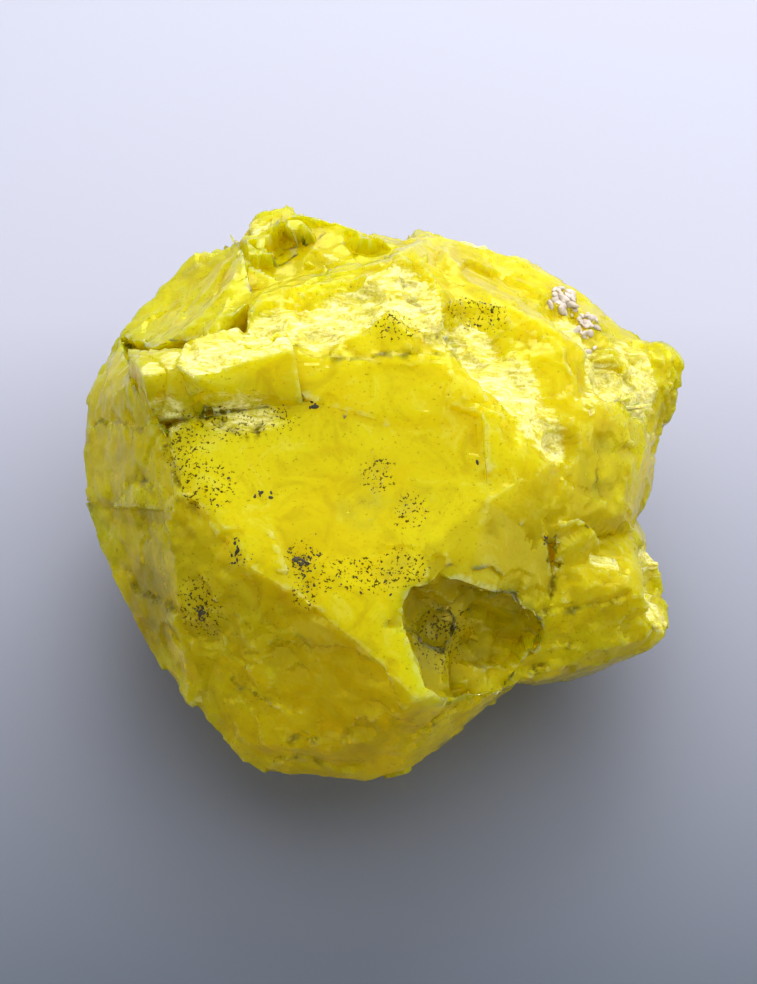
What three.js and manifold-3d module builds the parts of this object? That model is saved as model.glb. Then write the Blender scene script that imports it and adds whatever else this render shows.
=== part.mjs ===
// A hand-sized lump of native sulfur: crystals grown together into one stone, then broken out along curved
// fracture faces. It rests on its flattest break. Units are millimetres and +Z is up. The origin is under
// the middle of the stone, on the surface that it stands on.
import * as THREE from "three";
import { ConvexGeometry } from "three/addons/geometries/ConvexGeometry.js";
import { mergeVertices } from "three/addons/utils/BufferGeometryUtils.js";
import Module from "manifold-3d";

// Driving dimensions.
const MIDDLE_HEIGHT = 27; // the height of the stone's middle above its base
const FACE_LEAN = THREE.MathUtils.degToRad(30); // how far the broad face leans forward from lying flat
const MERGE = 1e-4; // corners closer than this are one corner
const SCOOP_DETAIL = 7; // how finely a conchoidal hollow is divided
const SULFUR = { color: 0xd9cc12, roughness: 0.25, metalness: 0 };

// Most corners are given square to the broad face: [across to the right, up the face, out of the face],
// counted from the stone's middle. Underside corners are given in the part's own frame.
const faceFrame = new THREE.Matrix4()
  .makeTranslation(0, 0, MIDDLE_HEIGHT)
  .multiply(new THREE.Matrix4().makeRotationX(FACE_LEAN));
const onFace = ([across, up, out]) => new THREE.Vector3(across, up, out).applyMatrix4(faceFrame);
const below = ([x, y, z]) => new THREE.Vector3(x, y, z);

// The fracture-bounded bodies that the lump is made of. Each one is the convex block between its corners.
const BODIES = {
  core: {
    face: [
      // table
      [-24, -1.5, 22], [-16.5, -9.5, 24.5], [-11.5, -9.5, 24.5], [2.5, -10.5, 25], [13, -1, 22.5],
      [-24, 9, 19.5], [-10.5, 10, 19.5], [-0.5, 12.5, 19], [7, 13.5, 19], [13, 8, 20.5], [-6, -15, 25.5],
      [-1, -20.5, 26], [4, -25, 26.5], [7, -24.5, 25], [-27, 8, 18.5], [-26, -1, 20.5],
      // front left
      [-21.5, -18.5, 15.5], [-19.5, -24, 14.5], [-9, -28.5, 18.5], [-4.5, -28.5, 20.5], [2.5, -26.5, 24.5],
      // front foot
      [-22.5, -29.5, 7.5], [-24, -27.5, 9], [-20.5, -31.5, 8], [-18.5, -34.5, 8.5], [-15.5, -36, 9],
      [-12.5, -36, 9], [-9.5, -35.5, 10], [-4.5, -36.5, 11], [-0.5, -37, 11], [3, -36, 12],
      // foot ledge
      [-16, -31.5, 13.5], [-10.5, -32.5, 15.5], [-4, -32.5, 17], [1.5, -32, 17.5], [6, -28.5, 17.5],
      // front right
      [20.5, -6.5, 17], [21.5, -13.5, 15.5], [21, -17.5, 14], [15, -25, 14], [9.5, -26, 18],
    ],
    under: [
      [-20, -14, 0], [-23, 3, 0], [-12, 19, 0], [8, 21, 0], [21, 7, 0], [17, -12, 0], [-1, -19, 0],
      [-33, 0, 13], [-29, 17, 11], [-13, 30, 9], [12, 31, 10], [28, 18, 9], [31, 2, 11], [26, -13, 9],
      [-25, -17, 12],
    ],
  },
  upper_flank: {
    face: [
      // rim
      [-40, 4, -1], [-39.5, -1, 0], [-39.5, 8.5, -2], [-39.5, 12.5, -3], [-38, 16.5, -4], [-35.5, 21, -5],
      // inner edge
      [-32, 13.5, 12], [-28.5, 8, 16.5], [-27, 7, 17.5], [-26, -1.5, 19.5], [-35.5, 9.5, 7], [-35, -1.5, 8],
      [-27, -2.5, 18.5],
    ],
    under: [
      [-37, 4, 15], [-20, 0, 4], [-33, 16, 12], [-20, 12, 8],
    ],
  },
  lower_flank: {
    face: [
      // rim
      [-39.5, -1.5, -1], [-38, -7, 2], [-35, -12.5, 4], [-32.5, -16.5, 5], [-29, -20.5, 7],
      [-27.5, -25.5, 8], [-24.5, -28, 9],
      // inner edge
      [-25.5, -2.5, 20.5], [-16.5, -9.5, 24], [-11.5, -9.5, 25], [-18, 5.5, 18.5], [-35, -3.5, 7],
      [-28, -12, 16.5], [-23, -15, 18], [-21, -19, 16],
    ],
    under: [
      [-37, -2, 15], [-32, -10, 11], [-24, -20, 9], [-18, -4, 2],
    ],
  },
  small_block: {
    face: [
      // top
      [-31.5, 17, 15], [-25.5, 18, 16], [-24, 18, 17.5], [-24, 15, 20], [-30, 14.5, 18.5],
      // front
      [-29, 9, 16.5], [-22, 9.5, 19.5],
      // root
      [-34, 14, 2], [-24, 12, 2], [-30, 8, 6], [-33, 18.5, 6],
    ],
  },
  twin_block: {
    face: [
      // top
      [-25.5, 15.5, 22], [-23.5, 14, 23.5], [-11, 17.5, 21.5], [-12, 20, 19], [-17.5, 21, 18.5],
      [-24.5, 18.5, 20],
      // front
      [-10, 11, 19], [-21, 10, 19.5], [-24, 11, 19.5],
      // root
      [-26, 19, 2], [-12, 20, 2], [-18.5, 11, 4],
    ],
  },
  crown: {
    face: [
      // fold
      [-17.5, 21, 16.5], [-9.5, 18.5, 17.5], [-5.5, 19.5, 17], [2, 24, 16], [8, 22, 17], [11.5, 19, 17.5],
      // foot
      [-10.5, 15, 18], [-9.5, 11.5, 19], [-0.5, 13, 19], [7, 14.5, 19], [12.5, 11, 20], [19, 3, 19.5],
      // top
      [-16, 25, 11.5], [-10.5, 27, 10], [-5, 26, 10.5], [-1, 27.5, 10.5], [2.5, 30.5, 10.5], [5, 29, 11.5],
      [7, 25.5, 13.5],
      // back
      [-17.5, 26.5, 2], [-8.5, 30, 0], [2, 32, 2], [7.5, 35.5, -8],
    ],
    under: [
      [-16, 24, 10], [6, 28, 10],
    ],
  },
  rim_bump: {
    face: [
      // edge
      [-21.5, 36, -10], [-19.5, 38, -10], [-16.5, 39, -11], [-12.5, 39.5, -11], [-9.5, 39, -11],
      [-6.5, 37.5, -10], [-3, 36, -10], [0, 35, -10], [3.5, 35, -10],
      // band
      [-18, 34.5, -1.5], [-14.5, 36, -2], [-9.5, 36.5, -3], [-5, 34.5, -3], [1.5, 33, -3],
      // front
      [-17.5, 26.5, 4], [2, 30.5, 3],
    ],
    under: [
      [-22, 35, 22], [-6, 37, 16], [-16, 31, 8], [-4, 31, 8], [-10, 28, 4],
    ],
  },
  upper_left: {
    face: [
      // rim
      [-35.5, 21, -5], [-32.5, 26, -7], [-26.5, 32, -9], [-21.5, 36, -10],
      // front
      [-30, 19, 6], [-21.5, 20, 12], [-18.5, 32, 2], [-17, 25, 8],
    ],
    under: [
      [-34, 22, 18], [-26, 30, 14], [-27, 22, 6], [-12, 20, 4],
    ],
  },
  upper_right: {
    face: [
      // rim
      [3.5, 35, -10], [4, 36, -10], [8.5, 36, -10], [14.5, 35, -9], [18, 32.5, -8], [22, 30, -8],
      [26, 28, -8], [32, 22.5, -6],
      // face
      [6, 29, 6], [9, 32, 3], [19, 26.5, 6], [10.5, 20, 15.5], [20.5, 20.5, 12], [28, 19, 8],
      [13, 11.5, 20], [23.5, 10, 15.5], [27.5, 11, 12],
    ],
    under: [
      [4, 35, 14], [20, 33, 20], [30, 25, 16], [8, 30, 6], [24, 22, 6], [12, 10, 4],
    ],
  },
  nose: {
    face: [
      // rim
      [32, 22.5, -6], [36, 20.5, -5], [39.5, 19.5, -5], [40.5, 17.5, -4.5], [40, 14.5, -4], [39.5, 11, -3],
      [37.5, 9, -2],
      // face
      [28, 19, 6], [33.5, 16, 5], [36, 12, 4], [33, 11.5, 7], [24.5, 10, 13], [36.5, 10.5, 2],
    ],
    under: [
      [35, 19, 20], [38, 14, 22], [31, 18, 10], [30, 8, 8], [22, 8, 10],
    ],
  },
  inner_column: {
    face: [
      // cap
      [25, 13, 13], [33.5, 14, 7.5],
      // face
      [12, 11, 20.5], [24, 9.5, 16.5], [32, 11.5, 10.5], [31, 4, 10], [30.5, -3.5, 10], [32.5, -5, 6],
      [22, -4.5, 16.5], [21, -6.5, 17], [13, -1, 22.5], [13, 8, 21], [19.5, 3, 20],
      // rim
      [34, -1, 0], [35.5, 9.5, 0],
    ],
    under: [
      [33, 2, 14], [33, 11, 12], [26, 4, 4], [10, 0, 6],
    ],
  },
  outer_column: {
    face: [
      // rim
      [36.5, 3.5, -1], [35, -1.5, 0], [33.5, -3.5, 1], [38, 10.5, -2],
      // face
      [31, 10.5, 8], [35.5, 12, 6], [31.5, 3, 7], [31.5, -3.5, 7], [28, -1, 5],
    ],
    under: [
      [34, 2, 16], [35, 9, 16], [30, 6, 8], [20, 4, 10],
    ],
  },
  foot_wedge: {
    face: [
      // face
      [22, -3.5, 17.5], [24.5, -3.5, 16], [26.5, -4.5, 14], [30, -8.5, 10.5], [26.5, -9, 12.5],
      [23.5, -9.5, 15], [21.5, -8.5, 16.5],
    ],
    under: [
      [22, -6, 14], [30, -8, 14], [24, -10, 8], [22, 0, 14],
    ],
  },
  lower_right_block: {
    face: [
      // rim
      [33.5, -3.5, 0], [35.5, -7, 0], [37, -10.5, 0], [38, -14.5, 0], [38, -18, 2], [35, -20.5, 4],
      [31.5, -22, 4], [28, -23, 5], [22.5, -24.5, 6], [18.5, -25, 8],
      // back rim
      [21.5, -8.5, 14.5], [26.5, -8.5, 12.5], [30.5, -8, 9.5], [34.5, -11.5, 6.5], [32, -4, 5],
      [34, -7, 4.5],
      // front rim
      [21.5, -9.5, 16], [26.5, -9.5, 14], [30, -9.5, 12], [33.5, -13.5, 10.5], [36.5, -17.5, 7],
      // face
      [21.5, -14, 16], [21, -17.5, 14], [15, -25, 13],
    ],
    under: [
      [31, -15, 10], [36, -9, 13], [26, -19, 9], [24, -8, 3], [14, -8, 4],
    ],
  },
};

// Angular hollows, each the convex block that is missing between its corners.
const CHIPS = {
  right_hollow: {
    on: "core",
    face: [
      // mouth
      [2.5, -10.5, 32], [1.5, -15, 32], [4.5, -24, 32], [8.5, -9.5, 32], [15.5, -12, 30], [20.5, -16.5, 28],
      [14.5, -25, 28], [8.5, -25, 32],
      // floor
      [3.5, -12, 23], [2.5, -15.5, 22.5], [5.5, -23.5, 21], [9, -11, 21], [16, -13.5, 17],
      [20, -17.5, 13.5], [15, -25, 13], [9, -25.5, 17.5], [8, -17, 18], [13.5, -18.5, 15],
    ],
  },
  crown_hollow: {
    on: "lump",
    face: [
      // mouth
      [-17, 32.5, 18], [-11.5, 34.5, 16], [-6.5, 34.5, 16], [-1, 32.5, 16], [2.5, 30.5, 17],
      [1.5, 27.5, 19], [-4, 25, 21], [-10, 23.5, 21], [-15, 23.5, 21], [-17.5, 26.5, 19],
      // floor
      [-16, 33, 4], [-10, 35, 1.5], [-3.5, 33, 2], [1, 31, 5], [-3.5, 29, 7], [-8.5, 31, 2.5],
      [-13, 27, 7.5], [-15.5, 29.5, 5.5],
    ],
  },
};

// Conchoidal breaks: each is a rounded hollow, with its half sizes across, up and out of the face, turned
// anticlockwise about the out direction, in degrees.
const SCOOPS = {
  flank_break: { on: "upper_flank", at: [-101, 5.5, 43], radii: [76, 99, 76], turn: 0 },
  flank_break_low: { on: "lower_flank", at: [-79, -12.5, 36.5], radii: [55.5, 72, 55.5], turn: 20 },
  shoulder_break: { on: "upper_right", at: [27.5, 53.5, 14], radii: [40.5, 31, 31], turn: -30 },
  broad_dip: { on: "core", at: [-1.5, 27.5, 119], radii: [132.5, 102, 102], turn: 10 },
  front_dip: { on: "core", at: [-37.5, -47.5, 80], radii: [106, 70.5, 70.5], turn: -42 },
  upper_left_break: { on: "upper_left", at: [-47.5, 49.5, 16], radii: [37, 37, 37], turn: 0 },
  low_left_break: { on: "lower_flank", at: [-53.5, -31, 23.5], radii: [32, 32, 32], turn: 0 },
  back_break: { on: "lump", at: [4, 61, -41], radii: [39.5, 39.5, 39.5], turn: 0 },
  back_break_low: { on: "lump", at: [16, 32.5, -55.5], radii: [31, 31, 31], turn: 0 },
  back_left_break: { on: "lump", at: [-49.5, 37, -32.5], radii: [31, 31, 31], turn: 0 },
  back_right_break: { on: "lump", at: [52, 37.5, -30.5], radii: [34, 34, 34], turn: 0 },
  right_break: { on: "lump", at: [50, -13.5, -32], radii: [28.5, 28.5, 28.5], turn: 0 },
  front_right_break: { on: "lump", at: [22, -47.5, -21.5], radii: [28.5, 28.5, 28.5], turn: 0 },
  front_break: { on: "lump", at: [-1.5, -56, -12.5], radii: [26, 26, 26], turn: 0 },
  front_break_left: { on: "lump", at: [-43, -48.5, -8], radii: [32, 32, 32], turn: 0 },
  left_break: { on: "lump", at: [-50, -22, -37], radii: [34.5, 34.5, 34.5], turn: 0 },
  left_back_break: { on: "lump", at: [-48.5, -6.5, -37], radii: [28, 28, 28], turn: 0 },
};

const wasm = await Module();
wasm.setup();

// A closed geometry as a solid that can be joined and cut.
function solidFrom(geometry) {
  const bare = geometry.clone();
  bare.deleteAttribute("normal");
  bare.deleteAttribute("uv");
  const merged = mergeVertices(bare, MERGE);
  return new wasm.Manifold(
    new wasm.Mesh({
      numProp: 3,
      vertProperties: merged.getAttribute("position").array,
      triVerts: new Uint32Array(merged.index.array),
    }),
  );
}

function geometryFrom(solid) {
  const mesh = solid.getMesh();
  return new THREE.BufferGeometry()
    .setAttribute("position", new THREE.BufferAttribute(mesh.vertProperties, 3))
    .setIndex(new THREE.BufferAttribute(mesh.triVerts, 1));
}

const blockOf = ({ face, under = [] }) =>
  solidFrom(new ConvexGeometry([...face.map(onFace), ...under.map(below)]));

// A rounded hollow with its middle at a point of the broad face's frame.
function scoopOf({ at, radii, turn }) {
  const place = new THREE.Matrix4()
    .copy(faceFrame)
    .multiply(new THREE.Matrix4().makeTranslation(...at))
    .multiply(new THREE.Matrix4().makeRotationZ(THREE.MathUtils.degToRad(turn)))
    .multiply(new THREE.Matrix4().makeScale(...radii));
  return solidFrom(new THREE.IcosahedronGeometry(1, SCOOP_DETAIL).applyMatrix4(place));
}

// A body, or the whole lump, with its own conchoidal breaks cut out of it.
const broken = (name, solid) =>
  [
    ...Object.values(CHIPS).filter(({ on }) => on === name).map(blockOf),
    ...Object.values(SCOOPS).filter(({ on }) => on === name).map(scoopOf),
  ].reduce((rest, hollow) => rest.subtract(hollow), solid);

const grown = Object.entries(BODIES)
  .map(([name, corners]) => broken(name, blockOf(corners)))
  .reduce((whole, body) => whole.add(body));
const lump = broken("lump", grown);

// The part stands with the middle of its box over the origin, on its flat break.
const shape = geometryFrom(lump);
shape.computeBoundingBox();
const middle = shape.boundingBox.getCenter(new THREE.Vector3());
shape.translate(-middle.x, -middle.y, -shape.boundingBox.min.z);

const stone = new THREE.Mesh(shape, new THREE.MeshStandardMaterial(SULFUR));
stone.name = "sulfur_crystal";

const part = new THREE.Group();
part.add(stone);
export default part;
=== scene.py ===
# %% [markdown]
# # A lump of native sulfur
# The lesson builds the looks of a hand-sized lump of native sulfur on top of its plain faceted solid. The solid
# gives the outline and the big broken faces. Everything finer is made here: the chipped edges, the shell-shaped
# breaks, the frosted zones, the clear yellow body, the cracks healed inside it and the dark grains that grew with
# it. Lengths are in millimetres in the code where a name ends in `_mm`, and in metres everywhere else, because
# Blender works in metres.

# %% Load the solid
import math

import bmesh
import bpy
import numpy as np
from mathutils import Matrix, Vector, kdtree, noise


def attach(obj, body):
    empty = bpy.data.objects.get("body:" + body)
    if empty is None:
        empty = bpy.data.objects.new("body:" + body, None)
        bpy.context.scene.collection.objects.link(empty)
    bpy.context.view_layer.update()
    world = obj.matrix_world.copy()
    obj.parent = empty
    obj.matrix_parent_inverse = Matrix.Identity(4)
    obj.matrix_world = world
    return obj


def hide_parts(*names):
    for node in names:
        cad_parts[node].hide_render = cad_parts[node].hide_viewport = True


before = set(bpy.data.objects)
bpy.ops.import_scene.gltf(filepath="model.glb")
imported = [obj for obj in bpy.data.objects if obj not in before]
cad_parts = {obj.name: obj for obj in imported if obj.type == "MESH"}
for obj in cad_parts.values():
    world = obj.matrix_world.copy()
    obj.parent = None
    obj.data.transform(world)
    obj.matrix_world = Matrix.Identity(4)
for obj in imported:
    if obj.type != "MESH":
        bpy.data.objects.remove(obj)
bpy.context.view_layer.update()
MM = 0.001

# %% [markdown]
# ## An even skin over the solid
# The solid is a few thousand long triangles, which can't take fine relief. Subdividing them would keep their
# slivers. The Remesh modifier in its Sharp mode lays a skin of small, nearly square faces over the solid instead,
# and still follows its edges, so every break keeps its crisp rim. The copy is merged first, because the solid's
# triangles don't share their corners.

# %% Remesh a merged copy
SKIN_DEPTH = 8
SKIN_SCALE = 0.66

merged = bmesh.new()
merged.from_mesh(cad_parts["sulfur_crystal"].data)
bmesh.ops.remove_doubles(merged, verts=merged.verts, dist=0.01 * MM)
coarse = bpy.data.meshes.new("coarse_lump")
merged.to_mesh(coarse)
merged.free()

coarse_lump = bpy.data.objects.new("coarse_lump", coarse)
bpy.context.scene.collection.objects.link(coarse_lump)
skin = coarse_lump.modifiers.new("even skin", "REMESH")
skin.mode = "SHARP"
skin.octree_depth = SKIN_DEPTH
skin.scale = SKIN_SCALE
skin.sharpness = 1.0
skin.use_remove_disconnected = True
lump_mesh = bpy.data.meshes.new_from_object(coarse_lump.evaluated_get(bpy.context.evaluated_depsgraph_get()))
lump_mesh.name = "sulfur_lump"
bpy.data.objects.remove(coarse_lump)
lump = bpy.data.objects.new("sulfur_lump", lump_mesh)
bpy.context.scene.collection.objects.link(lump)
print("skin has", len(lump_mesh.vertices), "corners")

# %% [markdown]
# ## Reading and writing the skin as arrays
# Thousands of small breaks are quickest as arithmetic on all corners at once, so the corners are read into NumPy
# arrays, in millimetres, and written back when the shape is done. A zone is a soft ball on the stone: 1 in its
# middle and 0 beyond its rim.

# %% Arrays and zones
def read_skin():
    corners = np.empty(len(lump_mesh.vertices) * 3)
    lump_mesh.vertices.foreach_get("co", corners)
    facing = np.empty(len(lump_mesh.vertices) * 3)
    lump_mesh.vertices.foreach_get("normal", facing)
    return corners.reshape(-1, 3) / MM, facing.reshape(-1, 3)


def write_skin(corners_mm):
    lump_mesh.vertices.foreach_set("co", (corners_mm * MM).ravel())
    lump_mesh.update()


def zone(corners_mm, middle_mm, reach_mm, softness=0.45):
    away = np.linalg.norm((corners_mm - middle_mm) / np.array(reach_mm), axis=1)
    return np.clip((1 - away) / softness, 0, 1)


def zones(corners_mm, places):
    return np.max([zone(corners_mm, middle, reach) for middle, reach in places], axis=0)


def grain_noise(corners_mm, size_mm, shift=0.0):
    return np.array([noise.fractal(Vector(p / size_mm) + Vector((shift, 0, 0)), 1.0, 2.0, 4) for p in corners_mm])


corners, facing = read_skin()
print("corners reach from", corners.min(0).round(1), "to", corners.max(0).round(1))

# %% [markdown]
# ## Shell-shaped breaks
# Sulfur is brittle and has almost no cleavage, so it breaks along curved faces like the inside of a shell. Each
# break is made as it happens: a ball that reaches a little way into the stone takes away what lies inside it.
# Corners inside the ball are moved out to its skin. Big balls that hardly touch give broad dished faces, small
# ones along the ridges give chipped edges. The balls are placed at random from a fixed seed.

# %% Break the surface with balls
SEED = 41
chance = np.random.default_rng(SEED)


def near_places(corners, count, likely, width_mm):
    """Picks corners by how likely each is, and yields each with its width and the corners around it."""
    tree = kdtree.KDTree(len(corners))
    for index, place in enumerate(corners):
        tree.insert(place, index)
    tree.balance()
    for place in chance.choice(len(corners), size=count, replace=False, p=likely / likely.sum()):
        width = chance.uniform(*width_mm)
        near = np.array([index for _, index, _ in tree.find_range(corners[place], 1.4 * width)])
        if len(near) > 3:
            yield place, width, near


print("places are picked from seed", SEED)

# %% Shell-shaped breaks
def break_faces(corners, facing, likely, count, width_mm, depth_mm, lean):
    """Takes shell-shaped breaks out of the skin."""
    for place, width, near in near_places(corners, count, likely, width_mm):
        depth = chance.uniform(*depth_mm)
        ball = (width ** 2 + depth ** 2) / (2 * depth)
        out = facing[place] + lean * chance.normal(size=3)
        out /= np.linalg.norm(out)
        near = near[facing[near] @ out > 0.1]
        arm = corners[near] - (corners[place] + out * (ball - depth))
        far = np.linalg.norm(arm, axis=1)
        taken = np.where(ball - far < 2.5 * depth, np.clip(ball - far, 0, None), 0)
        corners[near] += arm * (taken / far)[:, None]
    return corners


print("ball breaks ready")

# %% Flat chips and ridges
def chip_faces(corners, facing, likely, count, width_mm, depth_mm, tilt):
    """Takes flat, tilted chips out of the skin, each with a small step where it stops."""
    for place, width, near in near_places(corners, count, likely, width_mm):
        depth = chance.uniform(*depth_mm)
        out = facing[place] + tilt * chance.normal(size=3)
        out /= np.linalg.norm(out)
        stretch = 1 + 0.5 * chance.uniform(-1, 1, 3)
        near = near[np.linalg.norm((corners[near] - corners[place]) * stretch, axis=1) < width]
        near = near[facing[near] @ facing[place] > 0.1]
        taken = np.clip((corners[near] - corners[place]) @ out + depth, 0, 3 * depth)
        corners[near] -= taken[:, None] * out
    return corners


def ridge_strength(corners, facing):
    """How convex the skin is at each corner: 0 on a flat face, large on a ridge."""
    ends = np.empty(len(lump_mesh.edges) * 2, int)
    lump_mesh.edges.foreach_get("vertices", ends)
    one, other = ends.reshape(-1, 2).T
    along = corners[other] - corners[one]
    bend = ((facing[other] - facing[one]) * along).sum(1) / np.maximum(np.linalg.norm(along, axis=1), 1e-6)
    total = np.zeros(len(corners))
    np.add.at(total, one, bend)
    np.add.at(total, other, bend)
    return np.clip(total, 0, None)


print("chips and ridge finder ready")

# %% [markdown]
# ## Breaking the whole lump
# The order is the order in nature: broad breaks first, then the ridges wear and chip, and small chips come off
# everywhere. The table, the tops of the blocks and the right column are calm: they are grown or cleanly broken
# faces, so few breaks start there. The resting face at the bottom stays flat. The two hollows get small shells
# close together, and a slight unevenness goes over everything last.

# %% Break and chip the lump
CALM = [
    ((-3, -8, 46), (22, 17, 6)), ((-18, 3, 52), (9, 6, 6)), ((-28, 2, 50), (5, 4, 4)), ((20, -13, 40), (9, 9, 9)),
]
CALM_BLOCKS = CALM[1:3]
BASE_MM = 0.4
NEVER_ZERO = 1e-9
free = np.where(corners[:, 2] < BASE_MM, 0.0, 1.0) * (1 - 0.97 * zones(corners, CALM))
corners = break_faces(corners, facing, free, count=60, width_mm=(4, 9), depth_mm=(0.1, 0.35), lean=0.07)
write_skin(corners)
corners, facing = read_skin()
above_base = np.where(corners[:, 2] < BASE_MM, 0, 1)
ridges = ridge_strength(corners, facing) * above_base * (1 - 0.8 * zones(corners, CALM_BLOCKS))
corners = break_faces(
    corners, facing, ridges ** 1.5, count=220, width_mm=(0.8, 2.6), depth_mm=(0.08, 0.35), lean=0.25)
corners = chip_faces(corners, facing, ridges, count=300, width_mm=(0.8, 2.2), depth_mm=(0.08, 0.25), tilt=0.3)
corners = chip_faces(
    corners, facing, free ** 4 + NEVER_ZERO, count=900, width_mm=(0.9, 3.2), depth_mm=(0.03, 0.15), tilt=0.1)
write_skin(corners)
corners, facing = read_skin()
print("highest ridge strength", round(float(ridges.max()), 2))

# %% Shells in the hollows and a slight unevenness
HOLLOWS = {"right": [((9, -25, 34), (9, 6, 8))], "crown": [((-9, 27, 46), (10, 6, 7))]}
FRONT_AND_UP = (0, -0.5, 0.87)
UNEVEN_MM = 0.16
UNEVEN_SIZE_MM = 2.6
for places in HOLLOWS.values():
    bottom = zones(corners, places) * np.clip(facing @ FRONT_AND_UP, 0, 1) + NEVER_ZERO
    corners = break_faces(corners, facing, bottom, count=22, width_mm=(1.8, 4.2), depth_mm=(0.35, 0.9), lean=0.25)
    write_skin(corners)
    corners, facing = read_skin()
uneven = grain_noise(corners, UNEVEN_SIZE_MM, 11.0) * np.clip(corners[:, 2] / 2, 0, 1)
uneven = uneven * (1 - 0.7 * zones(corners, CALM))
corners += (UNEVEN_MM * uneven)[:, None] * facing
write_skin(corners)
corners, facing = read_skin()
print("hollows:", list(HOLLOWS), "- unevenness up to", round(float(np.abs(UNEVEN_MM * uneven).max()), 3), "mm")

# %% [markdown]
# ## Seams and steps
# Where two grown bodies meet, or a crack comes out, the skin has a fine step. Each seam is a short path over the
# stone. The skin on its left is let down a little, most at the path itself, so the step is crisp on one side and
# runs out on the other. The paths are shaken by noise first, because no crack is straight.

# %% Paths of the seams
SEAMS = {
    "under the twin block": [(-24, -2, 47.5), (-18.5, -4.5, 48), (-15, -4, 48), (-12, -2.5, 48)],
    "left of the table": [(-30, 0, 46), (-28, -4.5, 45.5), (-26.5, -10.5, 45), (-23, -14, 44)],
    "across the left flank": [(-38.5, 7, 32), (-31, -1, 43)],
    "middle of the left flank": [(-37, -5, 28), (-33, -5.5, 36.5), (-29.5, -8, 41)],
    "low on the left flank": [(-34, -12.5, 24.5), (-31.5, -15.5, 26.5), (-28, -20, 30), (-23, -23, 35)],
    "arc on the front face": [(-24, -26, 31), (-20, -28, 33), (-14, -28, 37)],
    "rib of the front face": [(-19, -29, 28.5), (-16.5, -31.5, 28.5), (-13.5, -33, 28.5), (-11, -34, 28.5)],
    "foot, upper crack": [(-12.5, -36, 24.5), (-8.5, -36.5, 26)],
    "foot, lower crack": [(-14, -36.5, 20.5), (-10, -37, 22), (-7, -38, 20.5)],
    "hollow, left crack": [(3, -26.5, 37.5), (6.5, -26.5, 34), (9.5, -28.5, 31)],
    "hollow, right crack": [(11, -24, 33), (10.5, -26, 31), (12, -27, 29.5)],
    "across the lower block": [(16, -22.5, 33), (20.5, -22, 32.5), (31, -18.5, 30)],
    "beside the lower block": [(20.5, -15, 39), (21, -20.5, 34)],
    "bottom of the lower block": [(17, -24.5, 29.5), (23.5, -24, 27.5)],
    "bottom strip": [(3.5, -37, 26.5), (6, -35.5, 29.5), (13.5, -30.5, 27), (20.5, -26, 26)],
    "below the crown": [(-9, 3, 51), (-1, 5, 51), (6, 5, 51), (11, 6, 50)],
    "fold of the crown": [(2, 18, 52), (5, 12, 52.5), (7, 8, 52)],
    "rib of the upper left": [(-32, 17, 39), (-26, 24.5, 37.5), (-21, 28, 41)],
    "upper left, second rib": [(-30, 10, 45), (-26, 17, 42), (-22, 20, 42)],
    "flute of the column": [(27, -4, 41), (27, -8, 36)],
}
DROP_MM = 0.45
REACH_MM = 3.5
SHAKE_MM = 1.3
SHAKE_SIZE_MM = 4.0
SEAM_MM = 1.2
print(len(SEAMS), "seams named")

# %% Let the skin down beside each seam


def beside(corners, facing, path):
    """How far each corner is from a path, in mm, and whether it lies to the path's left."""
    nearest = np.full(len(corners), 1e9)
    left = np.zeros(len(corners), bool)
    for start, end in zip(path[:-1], path[1:]):
        start = np.array(start, float)
        step = np.array(end) - start
        share = np.clip((corners - start) @ step / (step @ step), 0, 1)
        away = corners - start - share[:, None] * step
        far = np.linalg.norm(away, axis=1)
        closer = far < nearest
        left[closer] = ((np.cross(step, away) * facing).sum(1) > 0)[closer]
        nearest[closer] = far[closer]
    return nearest, left


shaken = corners + SHAKE_MM * np.stack(
    [grain_noise(corners, SHAKE_SIZE_MM, shift) for shift in (50, 70, 90)], axis=1)
seam = np.zeros(len(corners))
for path in SEAMS.values():
    far, left = beside(shaken, facing, path)
    drop = np.where(left, np.clip(1 - far / REACH_MM, 0, 1) ** 1.5, 0)
    corners -= (DROP_MM * drop)[:, None] * facing
    seam = np.maximum(seam, np.clip(1 - far / SEAM_MM, 0, 1))
write_skin(corners)
corners, facing = read_skin()
print("seams cover", round(float((seam > 0).mean()), 3), "of the skin")

# %% [markdown]
# ## Frosted zones
# Where the lump grew in company or was bruised, its surface is a mass of tiny broken steps that scatter light and
# look creamy. The zones lie on the crown, the ridge that runs down from it and the right side, with a few weaker
# bruises at the back. Inside them many small flat chips are taken out, and the zone's strength is kept on each
# corner for the material to read.

# %% Places of frost
FROSTED = {
    "crown": [
        ((-14, 10, 52), (4.5, 4, 3)), ((-8, 10, 52), (6, 4.5, 3)), ((-4, 13, 52), (6, 4, 3)),
        ((1, 15, 52), (5, 5, 3)), ((4, 13, 52.5), (4, 5, 3)),
    ],
    "ridge": [
        ((7, 9, 52), (4, 4, 3)), ((12, 9, 50), (5, 4, 4)), ((15, 5, 49.5), (5, 4.5, 4)),
        ((17.5, 1.5, 48.5), (4.2, 4.5, 4)), ((19.5, -2.3, 47.5), (4, 4, 4)), ((21.5, -4.5, 46), (3, 3.5, 4)),
    ],
    "right": [
        ((24, 17, 42), (4, 4, 4)), ((26, 14, 43), (4, 4, 4)), ((29, 8, 42), (4, 5, 4)),
        ((33, 7.5, 39), (5, 4, 4)), ((36, 8, 36), (3, 5, 5)), ((33, 14, 37), (4, 4, 4)),
    ],
    "lower right": [
        ((35.5, -11, 24), (2, 4, 4)), ((36, -17, 24), (2.2, 3.5, 4.5)), ((28, -14.5, 33), (4, 1.5, 2)),
    ],
    "bruises": [
        ((-9, 27, 46), (8, 4, 5)), ((-20, 34, 38), (6, 4, 4)), ((-6, 36, 37), (7, 3, 4)), ((12, 33, 37), (6, 3, 4)),
    ],
}
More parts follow.
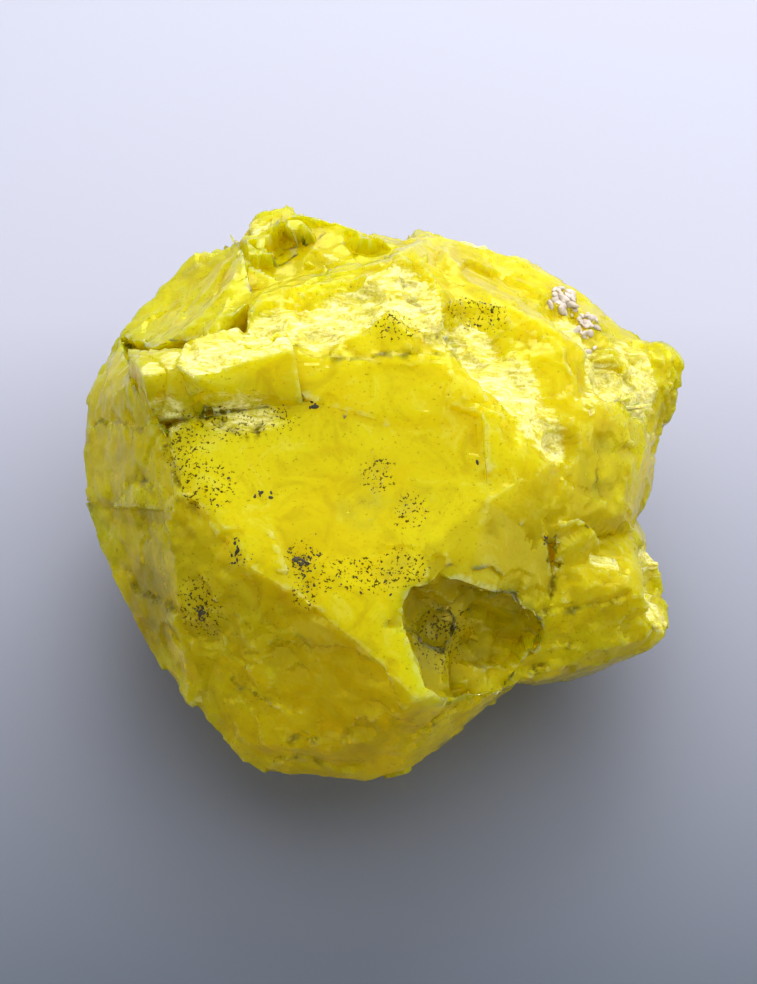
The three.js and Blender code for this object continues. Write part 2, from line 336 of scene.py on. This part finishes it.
print("frosted places:", {title: len(places) for title, places in FROSTED.items()})

# %% Chip the frosted zones
frost = zones(corners, [place for places in FROSTED.values() for place in places])
patchy = np.clip(0.55 + 1.6 * grain_noise(corners, 5.0), 0, 1)
frost = np.clip(frost * (0.5 + 0.9 * patchy), 0, 1)
icy = frost + 1e-6
corners = chip_faces(corners, facing, icy, count=420, width_mm=(1.5, 4.5), depth_mm=(0.05, 0.2), tilt=0.16)
write_skin(corners)
corners, facing = read_skin()
corners = chip_faces(corners, facing, icy, count=1600, width_mm=(0.7, 1.5), depth_mm=(0.02, 0.08), tilt=0.25)
corners[:, 2] = np.maximum(corners[:, 2], 0)
write_skin(corners)
corners, facing = read_skin()
print("frosted share", round(float((frost > 0.4).mean()), 3))

# %% [markdown]
# ## What the material will read
# A few soft numbers are kept on every corner: how frosted it is, with painted glare on the block tops and a painted
# glow on their fronts added in, where dark dirt has gathered, where a healed crack clouds the body, where shade is
# painted on below the blocks, in the hollow and on the olive face, where two bodies meet in a seam, how worn the
# edge is, which also paints a pale highlight along the ridges, and where grains grow. In the hollow the dirt and
# cloud places also darken it as painted shade. They only say where. The material breaks them up with its own fine
# patterns, far finer than the skin's corners. First come the places, each a middle and a reach in millimetres.

# %% Places of dirt and clouds, which in the hollow are partly painted shade
DIRT_AND_HOLLOW_SHADE = [
    ((-25, -6, 47), (4, 6, 4)),
    ((-22, -11, 46), (4, 4, 4)),
    ((-20, -3.5, 48), (4, 3, 3)),
    ((-14, -3, 48), (4, 2, 3)),
    ((-10, -20, 43), (3, 3, 3)),
    ((-10, -24, 42), (2, 3, 3)),
    ((-4, -22, 43), (7, 3, 3)),
    ((2, -21, 43), (4, 3, 3)),
    ((-1, -9.5, 46), (2.5, 3, 3)),
    ((3, -14, 44.5), (2.5, 3, 3)),
    # in the hollow: partly dirt, partly painted shade that darkens the recess
    ((8, -26, 34), (6, 5, 6)),
    ((-23, -22, 35), (4, 5, 5)),
    ((12, 13, 49), (5, 3, 4)),
    ((1, 9, 52), (4, 3, 3)),
]
CLOUDS_AND_HOLLOW_SHADE = [
    ((-1, -10, 46), (3.5, 4, 3)),
    ((-3, -14, 45), (4, 3, 3)),
    ((4, -13, 45), (3, 3, 3)),
    ((-17, 1, 52), (2, 2, 2)),
    ((3, -22, 43), (5, 3, 4)),
    # in the hollow: partly cloud, partly painted shade that darkens the recess
    ((9, -24, 34), (7, 5, 6)),
    ((-33, -5, 36), (5, 9, 9)),
    ((-29, -16, 30), (6, 7, 8)),
    ((27, -5, 40), (4, 5, 6)),
    ((29, 16, 39), (4, 4, 4)),
    ((-25, 28, 37), (6, 6, 6)),
]
print(len(DIRT_AND_HOLLOW_SHADE), "dirty places and", len(CLOUDS_AND_HOLLOW_SHADE), "cloudy ones")

# %% Places of painted shade, painted glow and painted glare
# painted shade: the hollow under the table, the rim below it, the face under the lower block and the low left flank
SHADED = [
    ((4.5, -24.5, 39.5), (3.5, 4, 6)),
    ((7, -26, 35), (7, 6, 8)),
    ((12, -25.5, 31.5), (8, 6, 7)),
    ((8, -30, 31), (7, 5, 6)),
    ((3.8, -31.5, 32.5), (5, 5, 6)),
    ((16, -23, 33), (4, 4, 5)),
    ((-31, -18, 26), (6, 8, 9)),
]
# painted glow on the thin fronts of the two blocks, and painted glare on the block tops and the column's ledge,
# both laid on as frosted colour
PAINTED_GLOW_PLACES = [((-18, -3, 50), (8, 3, 4)), ((-28, -2, 48), (4, 3, 4))]
GLARE_PLACES = [((-18, 3.5, 54), (9, 6, 2)), ((-28, 2.5, 51), (4, 4, 2)), ((28, 2, 43.5), (6, 3, 3))]
print(len(SHADED), "shaded places,", len(PAINTED_GLOW_PLACES), "glowing ones and", len(GLARE_PLACES), "satin ones")

# %% Places of grains
LUMPS = [
    ((-18.4, -19.3, 44), (1.0, 1.0, 1.2)),
    ((-18.4, -18, 44.3), (0.6, 0.5, 0.8)),
    ((-18.1, -21, 43.3), (0.9, 0.6, 1.2)),
    ((-10.5, -20, 43.4), (1.0, 0.9, 1.2)),
    ((-23.2, -22.9, 35.4), (0.9, 0.9, 1.1)),
    ((-9, -1.3, 48.7), (0.45, 0.45, 1)),
    ((-15.5, -12.2, 45.2), (0.5, 0.9, 1)),
    ((10.1, -8.6, 46.7), (0.35, 0.6, 1)),
    ((13.8, 14.2, 47.9), (0.6, 0.6, 1)),
    ((20.1, -14.9, 39.2), (0.8, 0.8, 1)),
    ((8.7, 9.4, 52.2), (0.5, 1.4, 1.5)),
]
DOTS = [
    ((-10.5, -20, 43.4), (2.4, 2.0, 2)),
    ((-10.3, -23, 42.8), (1.5, 2.4, 2)),
    ((-23.2, -22.9, 35.4), (2, 2, 2)),
    ((-18.2, -20, 43.8), (2, 2.4, 2)),
]
VEILS = [
    ((-1, -9.5, 46), (1.8, 2.6, 3)),
    ((-2.6, -14.2, 44.5), (1.6, 1.8, 3)),
    ((3.1, -13.9, 44.5), (1.8, 1.8, 3)),
    ((2, -21.5, 43.3), (3, 2.2, 3)),
    ((0, 8, 52), (2.5, 2, 2)),
    ((-18, 2, 54), (0.8, 0.8, 2)),
]
CRUST = [
    ((22.4, 20.9, 40), (1.6, 1.6, 2)),
    ((25, 19, 40), (1.6, 1.8, 2)),
    ((27.5, 15, 40.5), (1.6, 1.6, 2)),
    ((26, 13, 43), (1.8, 1.6, 2)),
    ((22.5, 15, 44.5), (1.4, 1.4, 2)),
    ((24.5, 21.7, 39), (3, 3, 3)),
    ((27, 18.3, 39.3), (2.6, 3, 3)),
    ((27.4, 14, 42), (2.2, 3, 3)),
]
print(len(LUMPS), "lumps,", len(DOTS), "clusters of dots,", len(VEILS), "veils and", len(CRUST), "crusts")

# %% [markdown]
# ## Faces with painted shade and painted light
# Light comes from behind, so a face that looks forward is dark. On such faces below the blocks shade is painted
# into the colour a little, and so it is on the olive face beside the hollow, which ends crisply at two straight
# breaks.
# The flat tops of the blocks, where they face the glare, get a painted glare: the frosted colour, but with no
# chips.
# The fronts of the blocks are thin, and a little frosted colour there is a painted glow.

# %% Find the faces with painted shade and painted light
TABLE_TOP_MM = 45
patches = np.clip(0.5 + 1.5 * grain_noise(corners, 3.0, 33.0), 0, 1)
clumps = np.clip(2.5 * grain_noise(corners, 1.6, 60.0), 0, 1)
# painted glare: faces turned to where the window mirrors into the camera
facing_the_glare = np.clip((facing @ (0, 0.15, 0.99) - 0.86) / 0.1, 0, 1)
painted_glare = 0.8 * np.clip(zones(corners, GLARE_PLACES) * 1.5, 0, 1) * facing_the_glare
# painted shade: faces looking forward below the table top
forward = np.clip((-facing[:, 1] - 0.5) / 0.1, 0, 1) * np.clip((TABLE_TOP_MM - corners[:, 2]) / 3, 0, 1)


def beyond(corners, start, end):
    """1 on the right of a line seen from above, 0 on its left, with a crisp change between."""
    along = np.subtract(end, start)
    across = np.array([along[1], -along[0]]) / np.linalg.norm(along)
    return np.clip(((corners[:, :2] - start) @ across + 0.4 * grain_noise(corners, 3.0, 5.0)) / 0.5, 0, 1)


# painted shade on the olive face beside the hollow, cut off by two straight breaks
OLIVE_CORNERS = ((1.5, -21.3), (12.2, -12.7), (20.9, -16))
olive = beyond(corners, *OLIVE_CORNERS[:2]) * beyond(corners, *OLIVE_CORNERS[1:])
olive *= zone(corners, (13, -19, 40), (12, 9, 10), 0.2)
print("shares: forward", round(float(forward.mean()), 3), "olive", round(float(olive.mean()), 3))

# %% Store the numbers on the corners
kept = {
    # frost also carries the painted glare and the painted glow; shade is painted shade
    "frost": np.max([frost, painted_glare, 0.4 * zones(corners, PAINTED_GLOW_PLACES)], axis=0),
    "dirt": zones(corners, DIRT_AND_HOLLOW_SHADE),
    "cloud": zones(corners, CLOUDS_AND_HOLLOW_SHADE) * patches,
    "shade": np.max([0.75 * zones(corners, SHADED), 0.3 * forward, 0.42 * olive], axis=0),
    "seam": seam,
    # wear of the ridges, which the material also turns into a painted pale highlight
    "worn": np.clip(ridge_strength(corners, facing) * 0.5, 0, 1),
    "lumps": zones(corners, LUMPS),
    "dots": np.maximum(zones(corners, DOTS) * (0.25 + clumps), 0.2 * zones(corners, DIRT_AND_HOLLOW_SHADE) * clumps),
    "veil": zones(corners, VEILS) * clumps,
    "crust": zones(corners, CRUST),
}
for title, value in kept.items():
    layer = lump_mesh.attributes.new(title, "FLOAT", "POINT")
    layer.data.foreach_set("value", value.astype(np.float32))
print("kept on the corners:", {title: round(float(value.mean()), 3) for title, value in kept.items()})

# %% [markdown]
# ## Thinning the flat places
# The even skin spends as many faces on a flat face as on a rough one. The Decimate modifier joins faces where the
# skin hardly bends, and carries the stored numbers over, so the piece gets lighter and its shape stays.

# %% Thin the skin and shade it
def triangles_of(mesh):
    return sum(len(face.vertices) - 2 for face in mesh.polygons)


MOST_TRIANGLES = 190_000
SHARP_DEGREES = 24
thinner = lump.modifiers.new("thin the flat places", "DECIMATE")
thinner.ratio = MOST_TRIANGLES / triangles_of(lump_mesh)
lump_mesh = bpy.data.meshes.new_from_object(lump.evaluated_get(bpy.context.evaluated_depsgraph_get()))
lump_mesh.name = "sulfur_lump"
lump.modifiers.clear()
lump.data = lump_mesh
lump_mesh.shade_smooth()
lump_mesh.set_sharp_from_angle(angle=math.radians(SHARP_DEGREES))
print("thinned to", triangles_of(lump_mesh), "triangles")

# %% [markdown]
# ## Shader maths in plain Python
# A finish is mostly arithmetic on patterns. Building it node by node hides the arithmetic, so one small class
# wraps a socket and turns Python's operators into Math nodes.

# %% Wrap sockets for arithmetic
class Value:
    """A number that varies over the surface: the output socket of a shader node."""

    def __init__(self, finish, socket):
        self.finish = finish
        self.socket = socket

    def math(self, operation, *others):
        node = self.finish.nodes.new("ShaderNodeMath")
        node.operation = operation
        for index, item in enumerate(others):
            if isinstance(item, Value):
                self.finish.links.new(item.socket, node.inputs[index])
            else:
                node.inputs[index].default_value = item
        return Value(self.finish, node.outputs[0])

    def __add__(self, other):
        return self.math("ADD", self, other)

    def __radd__(self, other):
        return self.math("ADD", other, self)

    def __sub__(self, other):
        return self.math("SUBTRACT", self, other)

    def __rsub__(self, other):
        return self.math("SUBTRACT", other, self)

    def __mul__(self, other):
        return self.math("MULTIPLY", self, other)

    def __rmul__(self, other):
        return self.math("MULTIPLY", other, self)

    def between(self, low, high):
        """0 at `low` and below, 1 at `high` and above."""
        node = self.finish.nodes.new("ShaderNodeMapRange")
        node.inputs["From Min"].default_value = low
        node.inputs["From Max"].default_value = high
        self.finish.links.new(self.socket, node.inputs["Value"])
        return Value(self.finish, node.outputs["Result"])


print("sockets can be added, subtracted and multiplied")

# %% One way to add a node
class Tree:
    """A shader node tree, and the few ways in which this lesson adds nodes to it."""

    def __init__(self, owner):
        owner.use_nodes = True
        self.nodes, self.links = owner.node_tree.nodes, owner.node_tree.links
        self.nodes.clear()

    def node(self, kind, settings=None, values=None, output=0):
        """Adds a node, sets its settings, then its sockets. Returns one output, or the whole node for None."""
        node = self.nodes.new(kind)
        for key, item in (settings or {}).items():
            setattr(node, key, item)
        for key, item in (values or {}).items():
            if isinstance(item, Value):
                self.links.new(item.socket, node.inputs[key])
            elif isinstance(item, bpy.types.NodeSocket):
                self.links.new(item, node.inputs[key])
            else:
                node.inputs[key].default_value = item
        return node if output is None else Value(self, node.outputs[output])

    def noise(self, per_metre, detail=4.0, roughness=0.55, distortion=0.0, along=(1, 1, 1)):
        """Noise at the object's own coordinates. Below 1, `along` draws it out on that axis."""
        place = self.node("ShaderNodeVectorMath", {"operation": "MULTIPLY"}, {0: self.place, 1: along}, "Vector")
        return self.node("ShaderNodeTexNoise", values={
            "Vector": place, "Scale": per_metre, "Detail": detail, "Roughness": roughness,
            "Distortion": distortion})

    def object_place(self):
        self.place = self.node("ShaderNodeTexCoord", output="Object")
        return self.place

    def attribute(self, title):
        return self.node("ShaderNodeAttribute", {"attribute_name": title}, output="Fac")

    def mix(self, amount, one, other):
        """A colour that goes from `one` to `other` as the amount goes from 0 to 1."""
        return self.node("ShaderNodeMix", {"data_type": "RGBA"}, {0: amount, 6: one, 7: other}, output=2)


print("shader helpers ready")

# %% [markdown]
# ## Clear yellow sulfur
# Sulfur bends light strongly, so its faces are bright and resinous. The body is clear to milky: some light goes
# straight through, the rest is scattered by fine cracks. So the clear finish mixes transmission with subsurface
# scattering, both as plain constants, and the volume behind it absorbs blue, which makes thick parts deeper
# yellow. The frosted finish lets nothing straight through. A Mix Shader goes from one to the other.

# %% Patterns of the sulfur
sulfur_material = bpy.data.materials.new("native_sulfur")
sulfur = Tree(sulfur_material)
sulfur.object_place()
# frost includes the painted glare and painted glow, shade is painted shade, and the edge wear also drives a painted
# highlight
frosted, dirt_and_shade, cloud_and_shade = sulfur.attribute("frost"), sulfur.attribute("dirt"), sulfur.attribute("cloud")
seamed, worn_and_highlit_edge, shade = sulfur.attribute("seam"), sulfur.attribute("worn"), sulfur.attribute("shade")
clouds = sulfur.noise(70, 3, 0.6)
depth = sulfur.noise(38, 2, 0.55)
blotch = sulfur.noise(190, 4, 0.62, 1.1)
swell = sulfur.noise(420, 2, 0.55)
grain = sulfur.noise(1500, 3, 0.7)
streaks = sulfur.noise(700, 4, 0.65, 1.6, (0.35, 1, 0.8))
dust = sulfur.noise(2400, 2, 0.6)
wander = sulfur.noise(260, 3, 0.65, 1.2)


def thin_line(pattern, width):
    """1 where a pattern passes through its middle value, falling to 0 within `width`."""
    return 1 - (pattern - 0.5).math("ABSOLUTE").between(0.0, width)


ragged = ((grain - 0.5) * 0.8 + (streaks - 0.5) * 1.4) * frosted.between(0.0, 0.3)
frost_glare_and_glow_now = (frosted * 1.3 + ragged).between(0.15, 0.65)
specks = (dust + (clouds - 0.5) * 0.2).between(0.66, 0.72)
cracks = thin_line(sulfur.noise(45, 3, 0.5, 0.6), 0.006) * clouds.between(0.48, 0.54)
hairs = thin_line(sulfur.noise(130, 3, 0.55, 1.2), 0.012) * depth.between(0.48, 0.56)
veins = thin_line(wander, 0.025) * dust.between(0.40, 0.52) + dust.between(0.58, 0.64)
grime_and_hollow_shade = (dirt_and_shade * veins * 1.4 + (dirt_and_shade - 0.7) * (grain - 0.3)).between(0.10, 0.5)
joint = seamed.between(0.35, 0.9) * (wander + (grain - 0.5) * 0.5).between(0.38, 0.55)
print("patterns ready,", len(sulfur.nodes), "nodes")

# %% Colour and finish of the sulfur
golden = sulfur.mix(depth.between(0.38, 0.62), (0.80, 0.69, 0.0, 1), (0.97, 0.86, 0.004, 1))
deep = sulfur.mix(clouds.between(0.45, 0.62) * 0.5, golden, (0.90, 0.88, 0.01, 1))
mottled = sulfur.mix(dust * 0.35, deep, (0.66, 0.53, 0.0, 1))
blotched = sulfur.mix(blotch.between(0.5, 0.64) * 0.35, mottled, (0.55, 0.44, 0.0, 1))
sparked = sulfur.mix(blotch.between(0.44, 0.36) * 0.3, blotched, (0.98, 0.95, 0.16, 1))
# painted shade: darkens the colour where the shade number is high
shaded = sulfur.mix(shade * 0.7, sparked, (0.26, 0.22, 0.002, 1))
# cloud colour, which in the hollow is also painted shade
milky_and_hollow_shade = sulfur.mix(cloud_and_shade * 0.35, shaded, (0.40, 0.41, 0.04, 1))
# painted highlight on the ridges, partly the pale wear of chipped edges
edged = sulfur.mix(worn_and_highlit_edge.between(0.2, 0.9) * 0.6, milky_and_hollow_shade, (0.97, 0.93, 0.42, 1))
cracked = sulfur.mix(cracks * 0.85 + hairs * 0.6, edged, (0.40, 0.31, 0.0, 1))
dusty = sulfur.mix(specks * 0.6, cracked, (0.28, 0.22, 0.0, 1))
jointed = sulfur.mix(joint * 0.85, dusty, (0.15, 0.13, 0.005, 1))
# dark dirt, which in the hollow is also painted shade
clear_colour = sulfur.mix(grime_and_hollow_shade * 0.9, jointed, (0.09, 0.07, 0.003, 1))
# the frosted colour, which also paints the glare on the block tops and the glow on their fronts
creamy = sulfur.mix(streaks.between(0.40, 0.60), (0.54, 0.49, 0.06, 1), (0.76, 0.73, 0.35, 1))
sandy = sulfur.mix(dust.between(0.52, 0.64) * 0.6, creamy, (0.42, 0.34, 0.02, 1))
frost_and_painted_light_colour = sulfur.mix((grime_and_hollow_shade + joint).between(0.0, 1.2) * 0.8, sandy, (0.12, 0.10, 0.006, 1))

height = swell * 1.6 + grain * (0.15 + frosted * 0.7) + streaks * (0.25 + frosted * 2.6)
bump = sulfur.node("ShaderNodeBump", values={"Strength": 0.5, "Distance": 0.25 * MM, "Height": height})
shared = {
    "IOR": 1.5,
    "Specular IOR Level": 0.4,
    "Subsurface Weight": 1.0,
    "Subsurface Radius": (1.0, 0.8, 0.08),
    "Normal": bump,
}
clear = sulfur.node("ShaderNodeBsdfPrincipled", values=shared | {
    "Base Color": clear_colour,
    "Roughness": 0.15 + clouds.between(0.5, 0.8) * 0.08 + cloud_and_shade * 0.12 + worn_and_highlit_edge * 0.1,
    "Specular Tint": (1.0, 0.96, 0.35, 1),
    "Transmission Weight": 0.5,
    "Subsurface Scale": 8 * MM,
})
frost_and_painted_light_finish = sulfur.node("ShaderNodeBsdfPrincipled", values=shared | {
    "Base Color": frost_and_painted_light_colour,
    "Roughness": 0.28 + grain * 0.2,
    "Specular Tint": (1.0, 0.98, 0.75, 1),
    "Transmission Weight": 0.0,
    "Subsurface Scale": 1.2 * MM,
})
# the frosted finish also stands for painted glare on the block tops and painted glow on their fronts
surface = sulfur.node("ShaderNodeMixShader", values={0: frost_glare_and_glow_now * 0.9, 1: clear, 2: frost_and_painted_light_finish})
depths = sulfur.node("ShaderNodeVolumeAbsorption", values={"Color": (1.0, 0.93, 0.05, 1), "Density": 80.0})
sulfur.node("ShaderNodeOutputMaterial", values={"Surface": surface, "Volume": depths}, output=None)
lump_mesh.materials.clear()
lump_mesh.materials.append(sulfur_material)
print("sulfur finish has", len(sulfur.nodes), "nodes")

# %% Put the lump on the frame
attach(lump, "root")
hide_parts("sulfur_crystal")
print("sulfur lump has", len(lump_mesh.polygons), "faces")

# %% [markdown]
# ## Grains, veils and crust
# Small things sit on the stone in crowds: grains of dark bitumen, the droplets left in healed cracks, and a crust
# of pinkish calcite. They could be modelled one by one, but they share one recipe: a point on the skin, a
# small irregular blob turned any way, a size. So one Geometry Nodes tree grows them all, with inputs for where,
# how many and how big. Each crowd then becomes a plain mesh.

# %% Build the scattering tree
class Growth(Tree):
    """A Geometry Nodes tree, with the same ways of adding nodes."""

    def __init__(self, title, inputs):
        self.group = bpy.data.node_groups.new(title, "GeometryNodeTree")
        self.nodes, self.links = self.group.nodes, self.group.links
        for name, kind in inputs.items():
            self.group.interface.new_socket(name, in_out="INPUT", socket_type=kind)
        self.group.interface.new_socket("Geometry", in_out="OUTPUT", socket_type="NodeSocketGeometry")
        outputs = self.node("NodeGroupInput", output=None).outputs
        self.asked = {socket.name: Value(self, socket) for socket in outputs}


growth = Growth("scattered grains", {
    "Geometry": "NodeSocketGeometry",
    "Where": "NodeSocketString",
    "Per Square Metre": "NodeSocketFloat",
    "Smallest": "NodeSocketFloat",
    "Largest": "NodeSocketFloat",
    "Flatness": "NodeSocketFloat",
    "Sink": "NodeSocketFloat",
    "Seed": "NodeSocketInt",
    "Material": "NodeSocketMaterial",
})
asked = growth.asked
strength = growth.node("GeometryNodeInputNamedAttribute", {"data_type": "FLOAT"}, {"Name": asked["Where"]})
places = growth.node("GeometryNodeDistributePointsOnFaces", values={
    "Mesh": asked["Geometry"], "Density": strength * asked["Per Square Metre"], "Seed": asked["Seed"]}, output=None)
size = growth.node("FunctionNodeRandomValue", {"data_type": "FLOAT"}, {
    2: asked["Smallest"], 3: asked["Largest"], "Seed": asked["Seed"]}, output=1)
SHORTEST, LONGEST, LENGTH_SEED, TURN_SEED = 0.7, 1.8, 5, 9
length = growth.node("FunctionNodeRandomValue", {"data_type": "FLOAT"}, {
    2: SHORTEST, 3: LONGEST, "Seed": LENGTH_SEED}, output=1)
turn = growth.node("FunctionNodeRandomValue", {"data_type": "FLOAT"}, {
    2: 0.0, 3: 2 * math.pi, "Seed": TURN_SEED}, output=1)
shape = growth.node("ShaderNodeCombineXYZ", values={"X": size * length, "Y": size, "Z": size * asked["Flatness"]})
spin = growth.node("ShaderNodeCombineXYZ", values={"Z": turn})
blob = growth.node("GeometryNodeMeshIcoSphere", values={"Radius": 1.0, "Subdivisions": 2}, output="Mesh")
grown = growth.node("GeometryNodeInstanceOnPoints", values={
    "Points": Value(growth, places.outputs["Points"]), "Instance": blob,
    "Rotation": Value(growth, places.outputs["Rotation"]), "Scale": shape})
spun = growth.node("GeometryNodeRotateInstances", values={"Instances": grown, "Rotation": spin})
depth_now = growth.node("ShaderNodeCombineXYZ", values={"Z": 0.0 - asked["Sink"]})
sunk = growth.node("GeometryNodeTranslateInstances", values={"Instances": spun, "Translation": depth_now})
real = growth.node("GeometryNodeRealizeInstances", values={"Geometry": sunk})
lumpy = growth.node("ShaderNodeTexNoise", values={"Scale": 0.5 / MM, "Detail": 2.0}, output="Color")
centred = growth.node("ShaderNodeVectorMath", {"operation": "SUBTRACT"}, {0: lumpy, 1: (0.5, 0.5, 0.5)}, "Vector")
pushed = growth.node("ShaderNodeVectorMath", {"operation": "SCALE"}, {
    0: centred, "Scale": asked["Largest"] * 2.2}, "Vector")
shaped = growth.node("GeometryNodeSetPosition", values={"Geometry": real, "Offset": pushed})
finished = growth.node("GeometryNodeSetMaterial", values={"Geometry": shaped, "Material": asked["Material"]})
growth.node("NodeGroupOutput", values={"Geometry": finished}, output=None)
print("scattering tree has", len(growth.nodes), "nodes")

# %% Finishes of the grains
def plain_finish(title, dark, light, roughness, per_metre):
    """A finish that wanders between two colours, with a fine uneven roughness."""
    material = bpy.data.materials.new(title)
    tree = Tree(material)
    tree.object_place()
    uneven = tree.noise(per_metre, 4, 0.6)
    colour = tree.mix(uneven.between(0.3, 0.7), dark, light)
    coat = tree.node("ShaderNodeBsdfPrincipled", values={
        "Base Color": colour, "Roughness": roughness + uneven * 0.2, "IOR": 1.55})
    tree.node("ShaderNodeOutputMaterial", values={"Surface": coat}, output=None)
    return material


bitumen = plain_finish("dark_bitumen", (0.010, 0.009, 0.004, 1), (0.05, 0.04, 0.008, 1), 0.3, 1500)
droplets = plain_finish("healed_crack_droplets", (0.16, 0.13, 0.02, 1), (0.40, 0.36, 0.10, 1), 0.4, 900)
calcite = plain_finish("pinkish_calcite", (0.36, 0.30, 0.24, 1), (0.60, 0.53, 0.48, 1), 0.6, 900)
print("finishes:", [material.name for material in (bitumen, droplets, calcite)])

# %% Grow the crowds
def grow(title, settings):
    """Grows one crowd over the stone and keeps it as a plain mesh that rides on the stone's body."""
    carrier = lump.copy()
    bpy.context.scene.collection.objects.link(carrier)
    scatter = carrier.modifiers.new("scatter", "NODES")
    scatter.node_group = growth.group
    for item in growth.group.interface.items_tree:
        if item.in_out == "INPUT" and item.name in settings:
            scatter[item.identifier] = settings[item.name]
    mesh = bpy.data.meshes.new_from_object(carrier.evaluated_get(bpy.context.evaluated_depsgraph_get()))
    bpy.data.objects.remove(carrier)
    mesh.name = title
    mesh.shade_smooth()
    piece = bpy.data.objects.new(title, mesh)
    bpy.context.scene.collection.objects.link(piece)
    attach(piece, "root")
    print(title, "has", len(mesh.polygons), "faces")
    return piece


grow("bitumen_lumps", {
    "Where": "lumps", "Per Square Metre": 9.0e6, "Smallest": 0.10 * MM, "Largest": 0.30 * MM, "Flatness": 0.45,
    "Sink": 0.05 * MM, "Seed": 3, "Material": bitumen})
grow("bitumen_dots", {
    "Where": "dots", "Per Square Metre": 8.0e6, "Smallest": 0.04 * MM, "Largest": 0.15 * MM, "Flatness": 0.5,
    "Sink": 0.01 * MM, "Seed": 4, "Material": bitumen})
grow("healed_veils", {
    "Where": "veil", "Per Square Metre": 4.0e6, "Smallest": 0.02 * MM, "Largest": 0.08 * MM, "Flatness": 0.4,
    "Sink": 0.02 * MM, "Seed": 5, "Material": droplets})
grow("calcite_crust", {
    "Where": "crust", "Per Square Metre": 3.0e6, "Smallest": 0.2 * MM, "Largest": 0.6 * MM, "Flatness": 0.6,
    "Sink": 0.1 * MM, "Seed": 6, "Material": calcite})

# %% [markdown]
# ## Floor, light and camera
# The stone lies on a plain pale sheet whose colour is painted darker towards the front, a painted shade for the
# window's light falling off. The light comes from behind and above, from a soft window and a broader lamp over it,
# so faces that tip away from the viewer glare and faces that tip forward go deep olive, helped by painted shade. A
# weak lamp on the right and an even room fill the rest. The broad lamp isn't seen in reflections, because it would
# wash the flat table out.

# %% Floor
floor_mesh = bpy.data.meshes.new("floor")
floor_mesh.from_pydata([(-3, -3, 0), (3, -3, 0), (3, 3, 0), (-3, 3, 0)], [], [(0, 1, 2, 3)])
floor = bpy.data.objects.new("floor", floor_mesh)
bpy.context.scene.collection.objects.link(floor)
paper_material = bpy.data.materials.new("pale_paper")
paper = Tree(paper_material)
back_to_front = paper.node("ShaderNodeSeparateXYZ", values={0: paper.object_place()}, output="Y")
# painted shade: the sheet's colour darkens towards the front
painted_falloff = paper.mix(back_to_front.between(-0.075, 0.045), (0.070, 0.087, 0.115, 1), (0.355, 0.36, 0.43, 1))
sheet = paper.node("ShaderNodeBsdfPrincipled", values={"Base Color": painted_falloff, "Roughness": 0.7})
paper.node("ShaderNodeOutputMaterial", values={"Surface": sheet}, output=None)
floor_mesh.materials.append(paper_material)
print("floor is", [round(x, 1) for x in floor.dimensions[:2]], "m wide and deep")

# %% Window and sky
MIDDLE = Vector((-0.34, -1.08, 27)) * MM


def soft_light(title, towards, distance, size, power, colour):
    lamp = bpy.data.lights.new(title, "AREA")
    lamp.shape = "DISK"
    lamp.size = size
    lamp.energy = power
    lamp.color = colour
    thing = bpy.data.objects.new(title, lamp)
    direction = Vector(towards).normalized()
    thing.location = MIDDLE + direction * distance
    thing.rotation_euler = direction.to_track_quat("Z", "Y").to_euler()
    bpy.context.scene.collection.objects.link(thing)
    return thing


soft_light("window", (0.10, 0.77, 0.64), 0.40, 0.30, 0.9, (1.0, 0.99, 0.97))
high_window = soft_light("high_window", (0.22, 0.36, 0.92), 0.55, 0.90, 3.2, (0.97, 0.97, 1.0))
high_window.visible_glossy = False
soft_light("side_fill", (0.93, -0.10, 0.35), 0.45, 0.35, 0.3, (1.0, 0.99, 0.94))

sky_world = bpy.data.worlds.new("sky")
sky = Tree(sky_world)
ray = sky.node("ShaderNodeTexCoord", output="Generated")
backwards = sky.node("ShaderNodeSeparateXYZ", values={0: ray}, output="Y")
room = sky.mix(backwards.between(-0.1, 0.9), (0.69, 0.69, 0.65, 1), (0.75, 0.77, 0.90, 1))
glow = sky.node("ShaderNodeBackground", values={"Color": room, "Strength": 1.0})
sky.node("ShaderNodeOutputWorld", values={"Surface": glow}, output=None)
bpy.context.scene.world = sky_world

# %% [markdown]
# ## Camera
# The camera looks down at the stone from the front with a long lens, as one studies a specimen on a table from
# a little way off. The view's contrast is raised a little, because clear minerals look flat in soft light. Few bounces are
# enough, because the yellow body takes the blue out of the light on its first way through.

# %% Camera
ELEVATION = math.radians(60)
DISTANCE = 307 * MM
lens = bpy.data.cameras.new("camera")
lens.lens = 84.9
lens.sensor_width = 36
camera = bpy.data.objects.new("camera", lens)
look_from = Vector((0, -math.cos(ELEVATION), math.sin(ELEVATION)))
camera.location = MIDDLE + Vector((-0.6, 0, 0)) * MM + look_from * DISTANCE
camera.rotation_euler = look_from.to_track_quat("Z", "Y").to_euler()
lens.clip_start = 0.01
bpy.context.scene.collection.objects.link(camera)
bpy.context.scene.camera = camera
bpy.context.scene.view_settings.view_transform = "Standard"
bpy.context.scene.view_settings.look = "Medium High Contrast"
bpy.context.scene.cycles.max_bounces = 3
bpy.context.scene.cycles.diffuse_bounces = 1
bpy.context.scene.cycles.glossy_bounces = 2
bpy.context.scene.cycles.transmission_bounces = 3
bpy.context.scene.cycles.caustics_reflective = False
print("camera at", [round(x, 3) for x in camera.location])
